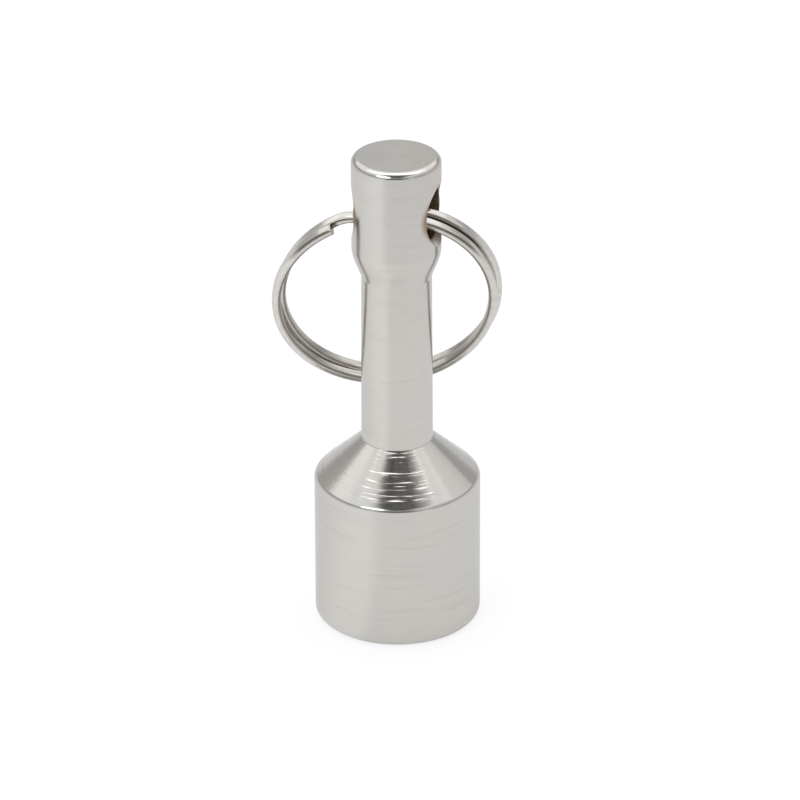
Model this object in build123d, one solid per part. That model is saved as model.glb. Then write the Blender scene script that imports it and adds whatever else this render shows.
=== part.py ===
from build123d import *
import math
import os

# Pocket magnet on a split ring, in millimetres.
# The origin is the centre of the magnet's working face, at the bottom, and +Z points up along
# the turned body. The cross hole that carries the split ring runs along X.

# Cup: the wide steel foot that holds the magnet
CUP_RADIUS = 9.0
SHOULDER_HEIGHT = 16.7      # where the straight side would meet the cone
CUP_HEIGHT = 21.35          # top of the cone, where the stem is seated
BOTTOM_EDGE_ROUND = 1.0
SHOULDER_EDGE_ROUND = 0.8
CUP_BORE_WALL = 2.0         # steel left round the magnet's recess

# Magnet, its resin collar and its glue
MAGNET_RADIUS = 6.0
MAGNET_HEIGHT = 5.0
MAGNET_EDGE_CHAMFER = 0.2
GLUE_THICKNESS = 0.15
COLLAR_SET_BACK = 0.1       # the resin shrinks this far behind the rim as it cures
COLLAR_CLEARANCE = 0.02     # between the resin and each of its two neighbours

# Stem: neck and head in one turned piece, with a spigot that goes down into the cup
NECK_FOOT_RADIUS = 3.88
NECK_TOP_RADIUS = 3.79
NECK_LENGTH = 19.3
TAPER_LENGTH = 3.4          # from the corner at the neck's top to the straight side of the head
HEAD_RADIUS = 4.81
HEAD_LENGTH = 10.4
HEAD_EDGE_ROUND = 0.7
SPIGOT_RADIUS = 2.5
SPIGOT_LENGTH = 7.0
SPIGOT_CHAMFER = 0.4
SPIGOT_CLEARANCE = 0.03     # on the radius
SPIGOT_END_ROOM = 0.5       # left under the spigot's tip for air and thread lock
DRILL_POINT_ANGLE = 118.0

# Cross hole through the head, countersunk from both sides
HOLE_RADIUS = 2.83
HOLE_DROP = 6.17            # from the head's top face down to the hole's axis
COUNTERSINK_DEPTH = 0.8     # in from the head's outermost line, above and below the hole
COUNTERSINK_ANGLE = 90.0

# Split ring: two turns of flattened wire with a step from the front turn to the rear one
RING_OUTER_RADIUS = 12.1
WIRE_RADIAL = 0.95
WIRE_AXIAL = 1.3
WIRE_EDGE_ROUND = 0.25
TURN_GAP = 0.05             # hairline between the two turns
TURN_SLIP = 0.56            # how far the rear turn sits to the side of the front one
FRONT_END_ANGLE = 119.0     # of the front turn's cut end, anticlockwise from the right
STEP_ANGLE = 24.0           # arc over which the wire steps across
STEP_SECTIONS = 9           # wire sections that the step is drawn through

# How the ring hangs in its hole
RING_PLAY = 0.05            # left between the wire and the hole's wall
HANG_STEP = 0.02            # how finely the ring is lowered to where the hole stops it
TURN_SHARE = 0.948          # share of the side play taken up by turning on the vertical
FORWARD_SHARE = 0.481       # share of the side play taken up by sitting forward
RING_ASIDE = -0.75          # the ring's centre, along its own width
RING_BEHIND_NECK = 0.86     # air between the neck's back and the ring

# Worked out from the sizes above
neck_top_height = CUP_HEIGHT + NECK_LENGTH
head_base_height = neck_top_height + TAPER_LENGTH
total_height = head_base_height + HEAD_LENGTH
hole_height = total_height - HOLE_DROP
countersink_slope = math.tan(math.radians(COUNTERSINK_ANGLE / 2))
bore_radius = CUP_RADIUS - CUP_BORE_WALL
bore_depth = MAGNET_HEIGHT + GLUE_THICKNESS
ring_inner_radius = RING_OUTER_RADIUS - WIRE_RADIAL
ring_middle_radius = RING_OUTER_RADIUS - WIRE_RADIAL / 2
turn_pitch = WIRE_AXIAL + TURN_GAP
turn_arc = 360 - STEP_ANGLE
stack_half = (WIRE_AXIAL + turn_pitch) / 2
side_play = HOLE_RADIUS - RING_PLAY - stack_half


def revolved(outline):
    """Turn a closed outline of radius and height round the body's axis."""
    face = Plane.XZ * make_face(outline)
    return revolve(face, axis=Axis.Z, revolution_arc=360)


def make_cup():
    """The cup: straight side, rounded bottom edge, cone, magnet recess below and stem hole above."""
    cone_angle = math.atan2(CUP_RADIUS - NECK_FOOT_RADIUS, CUP_HEIGHT - SHOULDER_HEIGHT)
    outline = Polyline(
        (0, 0), (CUP_RADIUS, 0), (CUP_RADIUS, SHOULDER_HEIGHT),
        (NECK_FOOT_RADIUS, CUP_HEIGHT), (0, CUP_HEIGHT), (0, 0),
    )
    section = make_face(outline)
    bottom = section.vertices().filter_by_position(Axis.X, CUP_RADIUS, CUP_RADIUS).sort_by(Axis.Y)[0]
    section = fillet(bottom, min(BOTTOM_EDGE_ROUND, 0.6 * CUP_BORE_WALL))
    shoulder = section.vertices().filter_by_position(Axis.X, CUP_RADIUS, CUP_RADIUS).sort_by(Axis.Y)[-1]
    longest = 0.4 * (CUP_RADIUS - NECK_FOOT_RADIUS) / math.sin(cone_angle) / math.tan(cone_angle / 2)
    section = fillet(shoulder, min(SHOULDER_EDGE_ROUND, longest))
    body = revolve(Plane.XZ * section, axis=Axis.Z, revolution_arc=360)
    recess = Cylinder(bore_radius, bore_depth, align=(Align.CENTER, Align.CENTER, Align.MIN))
    hole_radius = SPIGOT_RADIUS + SPIGOT_CLEARANCE
    hole_floor = CUP_HEIGHT - SPIGOT_LENGTH - SPIGOT_END_ROOM
    point_depth = hole_radius / math.tan(math.radians(DRILL_POINT_ANGLE / 2))
    stem_hole = revolved(Polyline(
        (0, CUP_HEIGHT), (hole_radius, CUP_HEIGHT), (hole_radius, hole_floor),
        (0, hole_floor - point_depth), (0, CUP_HEIGHT),
    ))
    return body - recess - stem_hole


def make_magnet():
    """The disc magnet, flush with the cup's rim, with its sharp edges broken."""
    disc = Cylinder(MAGNET_RADIUS, MAGNET_HEIGHT, align=(Align.CENTER, Align.CENTER, Align.MIN))
    return chamfer(disc.edges().filter_by(GeomType.CIRCLE), MAGNET_EDGE_CHAMFER)


def make_collar():
    """The resin collar that fills the ring-shaped space between the magnet and the cup's wall."""
    height = bore_depth - COLLAR_SET_BACK
    place = Pos(0, 0, COLLAR_SET_BACK)
    align = (Align.CENTER, Align.CENTER, Align.MIN)
    outside = Cylinder(bore_radius - COLLAR_CLEARANCE, height, align=align)
    inside = Cylinder(MAGNET_RADIUS + COLLAR_CLEARANCE, height, align=align)
    return place * (outside - inside)


def make_glue():
    """The thin disc of glue between the magnet's back and the floor of the recess."""
    disc = Cylinder(MAGNET_RADIUS, GLUE_THICKNESS, align=(Align.CENTER, Align.CENTER, Align.MIN))
    return Pos(0, 0, MAGNET_HEIGHT) * disc


def make_stem():
    """Spigot, neck, taper and head in one turning, with the cross hole and its countersinks."""
    spigot_tip = CUP_HEIGHT - SPIGOT_LENGTH
    lower = Polyline(
        (0, spigot_tip), (SPIGOT_RADIUS - SPIGOT_CHAMFER, spigot_tip),
        (SPIGOT_RADIUS, spigot_tip + SPIGOT_CHAMFER), (SPIGOT_RADIUS, CUP_HEIGHT),
        (NECK_FOOT_RADIUS, CUP_HEIGHT), (NECK_TOP_RADIUS, neck_top_height),
    )
    flare = HEAD_RADIUS - NECK_TOP_RADIUS
    taper = Bezier(
        (NECK_TOP_RADIUS, neck_top_height),
        (NECK_TOP_RADIUS + 0.3 * flare, neck_top_height + 0.3 * TAPER_LENGTH),
        (HEAD_RADIUS, head_base_height - 0.37 * TAPER_LENGTH),
        (HEAD_RADIUS, head_base_height),
    )
    side_top = (HEAD_RADIUS, total_height - HEAD_EDGE_ROUND)
    edge = RadiusArc(side_top, (HEAD_RADIUS - HEAD_EDGE_ROUND, total_height), -HEAD_EDGE_ROUND)
    upper = Polyline((HEAD_RADIUS - HEAD_EDGE_ROUND, total_height), (0, total_height), (0, spigot_tip))
    side = Line((HEAD_RADIUS, head_base_height), side_top)
    blank = revolved([lower, taper, side, edge, upper])
    drill = Pos(0, 0, hole_height) * Rot(0, 90, 0) * Cylinder(HOLE_RADIUS, 4 * HEAD_RADIUS)
    return blank - drill - make_countersink(1) - make_countersink(-1)


def make_countersink(side):
    """The cone cut away at one mouth of the cross hole, drawn on past the head's side."""
    length = COUNTERSINK_DEPTH + HEAD_RADIUS
    cone = Cone(
        HOLE_RADIUS, HOLE_RADIUS + length * countersink_slope, length,
        align=(Align.CENTER, Align.CENTER, Align.MIN),
    )
    start = side * (HEAD_RADIUS - COUNTERSINK_DEPTH)
    return Pos(start, 0, hole_height) * Rot(0, 90 * side, 0) * cone


def ring_turn_angle():
    """How far the ring is turned on the vertical: its share of the side play, at the mouths."""
    return math.atan2(TURN_SHARE * side_play, HEAD_RADIUS)


def ring_axes(lean, turn):
    """The ring's own directions: along its width, up its plane, and out of its front."""
    across = Vector(math.cos(turn), math.sin(turn), 0)
    forward = Vector(math.sin(turn), -math.cos(turn), 0)
    up = Vector(0, 0, 1)
    rise = up * math.cos(lean) + forward * math.sin(lean)
    front = forward * math.cos(lean) - up * math.sin(lean)
    return across, rise, front


def ring_centre(hang, lean, turn):
    """The ring's centre, hang below the hole's axis as measured up its plane."""
    across, rise, _ = ring_axes(lean, turn)
    start = Vector(0, -FORWARD_SHARE * side_play, hole_height)
    return start + across * RING_ASIDE - rise * hang


def ring_lean_angle(hang, turn):
    """The lean that leaves the stated air between the back of the neck and the ring."""
    forward = FORWARD_SHARE * side_play * math.cos(turn)
    reach = NECK_TOP_RADIUS + RING_BEHIND_NECK + stack_half + forward
    return math.asin(reach / (hang + ring_middle_radius))


def hole_wall(depth):
    """The cross hole's radius this far in from the head's outermost line: wider in the countersink."""
    return HOLE_RADIUS + max(COUNTERSINK_DEPTH - depth, 0) * countersink_slope


def rear_share(travelled):
    """How far the wire has stepped from the front turn to the rear one, this many degrees along it."""
    share = min(max((travelled - turn_arc) / STEP_ANGLE, 0), 1)
    return share * share * (3 - 2 * share)


def wire_clears_hole(hang, lean, turn):
    """True if each corner line of the wire clears the hole's wall, and does at any swing."""
    across, rise, front = ring_axes(lean, turn)
    centre = ring_centre(hang, lean, turn)
    for travelled in range(round(2 * turn_arc + STEP_ANGLE) + 1):
        angle = math.radians(FRONT_END_ANGLE + travelled)
        if math.sin(angle) < 0.5:
            continue
        ease = rear_share(travelled)
        outward = across * math.cos(angle) + rise * math.sin(angle)
        middle = centre + across * (TURN_SLIP * (ease - 0.5)) + front * (turn_pitch / 2 * (1 - 2 * ease))
        for radius in (ring_inner_radius, RING_OUTER_RADIUS):
            for side in (-1, 1):
                point = middle + outward * radius + front * (side * WIRE_AXIAL / 2)
                depth = HEAD_RADIUS - abs(point.X)
                off_axis = math.hypot(point.Y, point.Z - hole_height)
                if depth > 0 and off_axis > hole_wall(depth) - RING_PLAY:
                    return False
    return True


def ring_hang():
    """The lowest hang that the hole allows: stepped up from a wire that lies in the hole's wall."""
    turn = ring_turn_angle()
    hang = ring_middle_radius + HOLE_RADIUS
    while hang > ring_middle_radius and not wire_clears_hole(hang, ring_lean_angle(hang, turn), turn):
        hang -= HANG_STEP
    return hang


def wire_section(angle, radius, centre, axes, height):
    """The wire's rounded rectangle, in the half plane through the ring's axis at this angle."""
    across, rise, front = axes
    outward = across * math.cos(angle) + rise * math.sin(angle)
    middle = centre + outward * radius + front * height
    place = Plane(origin=middle, x_dir=outward, z_dir=front.cross(outward))
    return place * RectangleRounded(WIRE_RADIAL, WIRE_AXIAL, WIRE_EDGE_ROUND)


def make_ring(hang, lean, turn):
    """Front turn, step and rear turn, joined into one wire of nearly two turns."""
    axes = ring_axes(lean, turn)
    across, _, front = axes
    centre = ring_centre(hang, lean, turn)
    front_middle = centre - across * (TURN_SLIP / 2)
    rear_middle = centre + across * (TURN_SLIP / 2)
    start = math.radians(FRONT_END_ANGLE)
    end = start + math.radians(turn_arc)
    half_pitch = turn_pitch / 2
    front_face = wire_section(start, ring_middle_radius, front_middle, axes, half_pitch)
    front_turn = revolve(front_face, axis=Axis(front_middle, front), revolution_arc=turn_arc)
    rear_face = wire_section(start, ring_middle_radius, rear_middle, axes, -half_pitch)
    rear_turn = revolve(rear_face, axis=Axis(rear_middle, front), revolution_arc=turn_arc)
    sections = []
    for index in range(STEP_SECTIONS):
        share = index / (STEP_SECTIONS - 1)
        ease = rear_share(turn_arc + STEP_ANGLE * share)
        middle = front_middle + (rear_middle - front_middle) * ease
        angle = end + math.radians(STEP_ANGLE) * share
        sections.append(wire_section(angle, ring_middle_radius, middle, axes, half_pitch * (1 - 2 * ease)))
    step = loft(sections)
    return front_turn + step + rear_turn


def main():
    """Build each piece and write it to its own file."""
    os.makedirs("parts", exist_ok=True)
    turn = ring_turn_angle()
    hang = ring_hang()
    lean = ring_lean_angle(hang, turn)
    pieces = {
        "magnet_cup": make_cup(),
        "disc_magnet": make_magnet(),
        "resin_collar": make_collar(),
        "glue_disc": make_glue(),
        "stem": make_stem(),
        "split_ring": make_ring(hang, lean, turn),
    }
    angles = [round(math.degrees(angle), 2) for angle in (lean, turn)]
    print("ring hang", round(hang, 3), "lean and turn", angles)
    for name, piece in pieces.items():
        piece.label = name
        export_step(piece, f"parts/{name}.step")


main()
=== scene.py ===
"""Pocket magnet: turned cup and stem, disc magnet in resin, and the split ring that hangs in the head."""

import math

import bmesh
import bpy
import numpy as np
from mathutils import Matrix, Vector


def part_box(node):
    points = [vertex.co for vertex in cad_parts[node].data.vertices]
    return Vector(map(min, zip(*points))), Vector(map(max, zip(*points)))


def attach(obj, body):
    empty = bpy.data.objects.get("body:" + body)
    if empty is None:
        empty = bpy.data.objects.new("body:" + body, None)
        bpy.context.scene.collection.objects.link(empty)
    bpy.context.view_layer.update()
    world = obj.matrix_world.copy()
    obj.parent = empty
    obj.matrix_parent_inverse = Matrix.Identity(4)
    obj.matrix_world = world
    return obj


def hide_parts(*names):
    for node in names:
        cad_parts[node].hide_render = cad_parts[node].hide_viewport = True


bl_info = {
    "name": "Pocket Magnet",
    "version": (1, 0, 0),
    "blender": (4, 5, 0),
    "location": "3D View > Sidebar > Pocket Magnet",
    "description": "Turned pocket magnet with a split ring, and a pale studio stage",
    "category": "Add Mesh",
}

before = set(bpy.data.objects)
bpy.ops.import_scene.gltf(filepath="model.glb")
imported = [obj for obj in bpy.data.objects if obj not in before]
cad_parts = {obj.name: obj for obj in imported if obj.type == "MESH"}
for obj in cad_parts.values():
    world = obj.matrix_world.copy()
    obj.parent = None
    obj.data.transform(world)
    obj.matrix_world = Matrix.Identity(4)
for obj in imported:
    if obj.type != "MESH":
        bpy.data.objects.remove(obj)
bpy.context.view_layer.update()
MM = 0.001
EDGE_TINT = (0.84, 0.85, 0.87, 1.0)  # plated metal seen along its surface
BLACK = (0.0, 0.0, 0.0)
MERGE_DISTANCE = 1e-7
ARC_STEPS = 9  # points on each round of the cup's outline
CONE_ROWS = 170
CORNER_GAP = 0.04 * MM  # from the neck's last row to the taper's first, so that their corner keeps both normals
BURR = 0.07 * MM  # broken edge of the ring's two cut ends
COVE_RADIUS = 1.55
COVE_HEIGHT = 1.7
COVE_STEPS = 61
CUP_LOW, CUP_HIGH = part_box("magnet_cup")
STEM_LOW, STEM_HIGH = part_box("stem")
MAGNET_LOW, MAGNET_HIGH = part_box("disc_magnet")
COLLAR_LOW, COLLAR_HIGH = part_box("resin_collar")


# ---------------------------------------------------------------- sizes and colours

def length(name, description, default):
    """A size in metres."""
    return bpy.props.FloatProperty(
        name=name, description=description, default=default, subtype="DISTANCE", unit="LENGTH", precision=5
    )


def angle(name, description, degrees):
    """An angle, given here in degrees."""
    return bpy.props.FloatProperty(
        name=name, description=description, default=math.radians(degrees), subtype="ANGLE", unit="ROTATION"
    )


def share(name, description, default):
    """A plain number from 0 to 1."""
    return bpy.props.FloatProperty(
        name=name, description=description, default=default, min=0, max=1, subtype="FACTOR"
    )


def power(name, description, default):
    """A lamp's power in watts."""
    return bpy.props.FloatProperty(name=name, description=description, default=default, unit="POWER")


def count(name, description, default):
    """A whole number of steps."""
    return bpy.props.IntProperty(name=name, description=description, default=default, min=8, max=512)


def tint(name, description, default):
    """A linear colour."""
    return bpy.props.FloatVectorProperty(
        name=name, description=description, default=default, size=3, min=0, max=1, subtype="COLOR"
    )


class CupSizes(bpy.types.PropertyGroup):
    """The wide foot."""

    radius: length("Radius", "Outside radius of the cup", CUP_HIGH.x)
    height: length("Height", "Top of the cone, where the stem is seated", CUP_HIGH.z)
    shoulder: length("Shoulder height", "Where the straight side would meet the cone", 16.7 * MM)
    cone_top: length("Cone top radius", "Radius of the cone under the neck", 3.88 * MM)
    bottom_round: length("Bottom edge round", "Round of the bottom edge", 1.0 * MM)
    shoulder_round: length("Shoulder round", "Round between the side and the cone", 0.8 * MM)
    recess_radius: length("Recess radius", "Radius of the magnet's recess", 7.0 * MM)
    recess_depth: length("Recess depth", "Depth of the magnet's recess", 5.15 * MM)
    hole_radius: length("Stem hole radius", "Radius of the hole for the stem's spigot", 2.53 * MM)
    hole_floor: length("Stem hole floor", "Height at which the drill point starts", 13.85 * MM)
    drill_point: length("Drill point", "Depth of the drilled cone under the hole", 1.52 * MM)
    mark_depth: length("Tool mark depth", "Height of the ridges that the tool left on the cone", 0.030 * MM)
    mark_turn: angle("Tool mark turn", "Where round the cup the marks are deepest, as at every third", -75.75)
    columns: count("Columns", "Steps round the cup", 320)


class StemSizes(bpy.types.PropertyGroup):
    """Spigot, neck, taper and head."""

    spigot_radius: length("Spigot radius", "Radius of the spigot in the cup", 2.5 * MM)
    spigot_chamfer: length("Spigot chamfer", "Chamfer at the spigot's tip", 0.4 * MM)
    foot_radius: length("Neck foot radius", "Radius of the neck where it meets the cone", 3.88 * MM)
    neck_radius: length("Neck top radius", "Radius of the neck under the taper", 3.79 * MM)
    neck_top: length("Neck top", "Height of the corner between neck and taper", 40.65 * MM)
    head_base: length("Head base", "Height at which the head's straight side starts", 44.05 * MM)
    head_radius: length("Head radius", "Radius of the head", STEM_HIGH.x)
    head_round: length("Head edge round", "Round of the head's top edge", 0.7 * MM)
    hole_radius: length("Cross hole radius", "Radius of the hole for the ring", 2.83 * MM)
    hole_height: length("Cross hole height", "Height of the hole's axis", 48.28 * MM)
    sink_depth: length("Countersink depth", "Depth of the 90 degree countersinks from the side", 0.8 * MM)
    edge_break: length("Edge break", "Broken edge of the hole and its countersinks", 0.09 * MM)
    columns: count("Columns", "Steps round the stem, a multiple of four", 192)


class RingSizes(bpy.types.PropertyGroup):
    """Two turns of flattened wire, and how they hang."""

    outer_radius: length("Outer radius", "Radius over the wire", 12.1 * MM)
    wire_radial: length("Wire depth", "Wire size across the ring's plane", 0.95 * MM)
    wire_axial: length("Wire thickness", "Wire size through the ring's plane", 1.3 * MM)
    wire_round: length("Wire edge round", "Round of the wire's four edges", 0.4 * MM)
    turn_gap: length("Turn gap", "Hairline between the two turns", 0.05 * MM)
    turn_slip: length("Turn slip", "How far the rear turn sits to the side of the front one", 0.56 * MM)
    front_end: angle("Front end", "Angle of the front turn's cut end", 119.0)
    step_arc: angle("Step", "Arc over which the wire steps across", 24.0)
    hang: length("Hang", "From the hole's axis down to the ring's centre", 11.835 * MM)
    aside: length("Aside", "The ring's centre along its own width", -0.75 * MM)
    forward: length("Forward", "How far the ring's wire sits ahead of the hole's axis", 0.699855 * MM)
    lean: angle("Lean", "How far the ring leans back", 16.46)
    turn: angle("Turn", "How far the ring is turned on the vertical", 16.0)
    sections: count("Sections", "Wire sections along both turns", 464)


class MagnetSizes(bpy.types.PropertyGroup):
    """The disc magnet and the resin round it."""

    chamfer: length("Edge chamfer", "Broken edge of the disc", 0.2 * MM)
    collar_outside: length("Resin outside", "Outer radius of the resin", 6.98 * MM)
    collar_inside: length("Resin inside", "Inner radius of the resin", 6.02 * MM)
    sag: length("Resin sag", "How far the resin's face is drawn in between its two walls", 0.12 * MM)
    columns: count("Columns", "Steps round the disc", 192)


class Finishes(bpy.types.PropertyGroup):
    """Colours of the metals, the resin and the glue, with the painted shade inside the cross hole and on the
    ring's wire.
    """

    nickel: tint("Nickel", "Bright nickel plate on the turned parts", (0.605, 0.590, 0.560))
    nickel_warm: tint("Warm nickel", "Warmer patches of the plate", (0.640, 0.590, 0.545))
    # Painted shade inside the cross hole and over its countersinks: a darker, browner plate.
    bore_shade: tint("Bore", "Thin, dull plate inside the cross hole", (0.400, 0.310, 0.235))
    steel: tint("Ring steel", "Plated spring wire of the ring", (0.680, 0.655, 0.620))
    # Painted shade and painted dark reflections on the wire's inner face, upper corner and groove.
    painted_wire_shade: tint("Painted wire shade", "The wire's inner face, upper corner and groove", (0.100, 0.072, 0.048))
    magnet: tint("Magnet", "Nickel on the magnet", (0.640, 0.620, 0.590))
    resin: tint("Resin", "Potting resin", (0.030, 0.030, 0.033))
    glue: tint("Glue", "Clear glue, a little yellow", (0.620, 0.560, 0.400))


class StudioSettings(bpy.types.PropertyGroup):
    """Floor, lamps and camera."""

    floor_colour: tint("Floor", "White paper", (0.93, 0.93, 0.93))
    paper_white: share("Paper white", "How far the camera sees the paper as plain white", 0.8)
    paper_glow: share("Paper glow", "How far the metal sees the paper as evenly lit", 0.7)
    room_colour: tint("Room", "The pale grey room round the stage", (0.96, 0.98, 1.0))
    room_strength: bpy.props.FloatProperty(name="Room strength", description="Its strength", default=0.57)
    overhead_power: power("Overhead lamp", "Power of the large lamp overhead", 5.45)
    side_power: power("Side lamp", "Power of the dim lamp overhead on the right", 1.25)
    bright_power: power("Bright lamp", "Power of the small lamp in the middle overhead", 1.3)
    rear_power: power("Rear lamp", "Power of the dim, wide lamp behind", 0.62)
    front_power: power("Front lamp", "Power of the lamp at the front left", 0.8)
    azimuth: angle("Azimuth", "Camera's angle round the object, from the front towards +X", 14.25)
    elevation: angle("Elevation", "Camera's angle above the horizon", 26.67)
    distance: length("Distance", "From the camera to the middle of the object", 0.6607)
    focus_height: length("Focus height", "Height of the point that the distance is measured to", 27.5 * MM)
    aim_right: length("Aim right", "How far to the right of that point the camera looks", 0.32 * MM)
    aim_down: length("Aim down", "How far below that point the camera looks", 1.73 * MM)
    roll: angle("Roll", "Turn of the camera about its own axis", -0.2)
    lens: bpy.props.FloatProperty(
        name="Lens", description="Focal length in millimetres", default=276.1, subtype="DISTANCE_CAMERA"
    )


# ---------------------------------------------------------------- surfaces

def unit(vectors):
    """Each vector divided by its own length."""
    return vectors / np.maximum(np.linalg.norm(vectors, axis=-1, keepdims=True), 1e-12)


def rounded_outline(corners, steps=7):
    """Points and outward normals along an outline of straight runs with each corner rounded by an arc.

    A corner is (r, z, round). The arc touches both runs, so it starts round * tan(turn / 2) before the
    corner, and its centre is one round away from both. The normal of a run is its direction turned a
    quarter to the right.
    """
    points, normals = [], []
    places = np.array([corner[:2] for corner in corners], float)
    for index, here in enumerate(places):
        before = unit(here - places[index - 1]) if index else None
        after = unit(places[index + 1] - here) if index < len(corners) - 1 else None
        if before is None or after is None:
            run = after if before is None else before
            points.append(here[None])
            normals.append(np.array([[run[1], -run[0]]]))
            continue
        rounding = corners[index][2]
        turn = math.atan2(before[0] * after[1] - before[1] * after[0], float(before @ after))
        start_normal = np.array([before[1], -before[0]])
        side = math.copysign(1, turn)
        start = here - before * rounding * math.tan(abs(turn) / 2)
        centre = start - start_normal * rounding * side
        angles = np.linspace(0, turn, steps)
        spin = np.stack([
            start_normal[0] * np.cos(angles) - start_normal[1] * np.sin(angles),
            start_normal[0] * np.sin(angles) + start_normal[1] * np.cos(angles),
        ], 1)
        points.append(centre + spin * rounding * side)
        normals.append(spin)
    return np.concatenate(points), np.concatenate(normals)


def grid_faces(rows, columns, closed):
    """Corner numbers of the quads between rows and columns; closed joins the last column to the first."""
    span = columns if closed else columns - 1
    row, column = np.meshgrid(np.arange(rows - 1), np.arange(span), indexing="ij")
    a = row * columns + column
    b = row * columns + (column + 1) % columns
    return np.stack([a, b, b + columns, a + columns], -1).reshape(-1, 4)


def revolved(outline, normals, columns):
    """An outline (r, z) carried round the Z axis: (r cos t, r sin t, z), and its normals the same way."""
    turn = np.linspace(0, 2 * np.pi, columns, endpoint=False)
    ring = np.stack([np.cos(turn), np.sin(turn)], -1)
    spots = np.concatenate([
        outline[:, None, :1] * ring[None], np.broadcast_to(outline[:, None, 1:], (len(outline), columns, 1))
    ], -1)
    faces_to = np.concatenate([
        normals[:, None, :1] * ring[None], np.broadcast_to(normals[:, None, 1:], (len(outline), columns, 1))
    ], -1)
    return spots.reshape(-1, 3), faces_to.reshape(-1, 3), grid_faces(len(outline), columns, True)


def gathered(*surfaces):
    """Several (points, normals, faces) as one, with the face numbers moved up by the points before them."""
    offset, spots, normals, faces = 0, [], [], []
    for points, facing, quads in surfaces:
        spots.append(points)
        normals.append(facing)
        faces.append(quads + offset)
        offset += len(points)
    return np.concatenate(spots), np.concatenate(normals), np.concatenate(faces)


def make_piece(name, surface, material, shade=None):
    """A closed mesh object from points, normals and quads, with poles and seams merged, and smooth shaded.

    Each quad is wound so that the cross product of its diagonals agrees with its corners' normals. Points
    closer than a ten-thousandth of a millimetre are merged, and each loop then takes the normal worked out
    for its point. The painted shade, when there is one, is kept at each point as the attribute "hollow".
    """
    points, normals, quads = surface
    normals = unit(normals)
    corner = points[quads]
    facing = np.cross(corner[:, 2] - corner[:, 0], corner[:, 3] - corner[:, 1])
    inward = np.einsum("ij,ij->i", facing, normals[quads].sum(1)) < 0
    quads = np.where(inward[:, None], quads[:, ::-1], quads)
    mesh = bpy.data.meshes.new(name)
    mesh.from_pydata(points.tolist(), [], quads.tolist())
    kept = mesh.attributes.new("facing", "FLOAT_VECTOR", "POINT")
    kept.data.foreach_set("vector", normals.astype(np.float32).ravel())
    if shade is not None:
        hollow = mesh.attributes.new("hollow", "FLOAT", "POINT")
        hollow.data.foreach_set("value", shade.astype(np.float32).ravel())
    work = bmesh.new()
    work.from_mesh(mesh)
    bmesh.ops.remove_doubles(work, verts=work.verts, dist=MERGE_DISTANCE)
    loose = [edge for edge in work.edges if len(edge.link_faces) != 2]
    if loose:
        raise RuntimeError(f"{name} isn't closed: {len(loose)} edges don't have two faces")
    work.to_mesh(mesh)
    work.free()
    facing = np.zeros(len(mesh.vertices) * 3, np.float32)
    mesh.attributes["facing"].data.foreach_get("vector", facing)
    mesh.attributes.remove(mesh.attributes["facing"])
    mesh.polygons.foreach_set("use_smooth", np.ones(len(mesh.polygons), bool))
    mesh.normals_split_custom_set_from_vertices(unit(facing.reshape(-1, 3)).tolist())
    mesh.materials.append(material)
    mesh.update()
    piece = bpy.data.objects.new(name, mesh)
    bpy.context.scene.collection.objects.link(piece)
    return piece


def stand_in(name, surface, material, body, node, shade=None):
    """A piece that rides on a body in place of one CAD node."""
    piece = make_piece(name, surface, material, shade)
    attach(piece, body)
    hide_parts(node)
    return piece


# ---------------------------------------------------------------- materials

class Signal:
    """One output of a shader node. Arithmetic on it adds Math nodes and gives a new signal."""

    def __init__(self, shades, socket):
        self.shades, self.socket = shades, socket

    def math(self, operation, *values):
        return self.shades.node("ShaderNodeMath", {"operation": operation}, dict(enumerate(values)))

    def __add__(self, other):
        return self.math("ADD", self, other)

    __radd__ = __add__

    def __sub__(self, other):
        return self.math("SUBTRACT", self, other)

    def __rsub__(self, other):
        return self.math("SUBTRACT", other, self)

    def __mul__(self, other):
        return self.math("MULTIPLY", self, other)

    __rmul__ = __mul__

    def __truediv__(self, other):
        return self.math("DIVIDE", self, other)

    def __pow__(self, other):
        return self.math("POWER", self, other)

    def rise(self, start, end):
        """0 below start, 1 above end, and smooth between."""
        return self.shades.node(
            "ShaderNodeMapRange", {"interpolation_type": "SMOOTHSTEP"},
            {"Value": self, "From Min": start, "From Max": end, "To Min": 0.0, "To Max": 1.0},
        )


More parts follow.
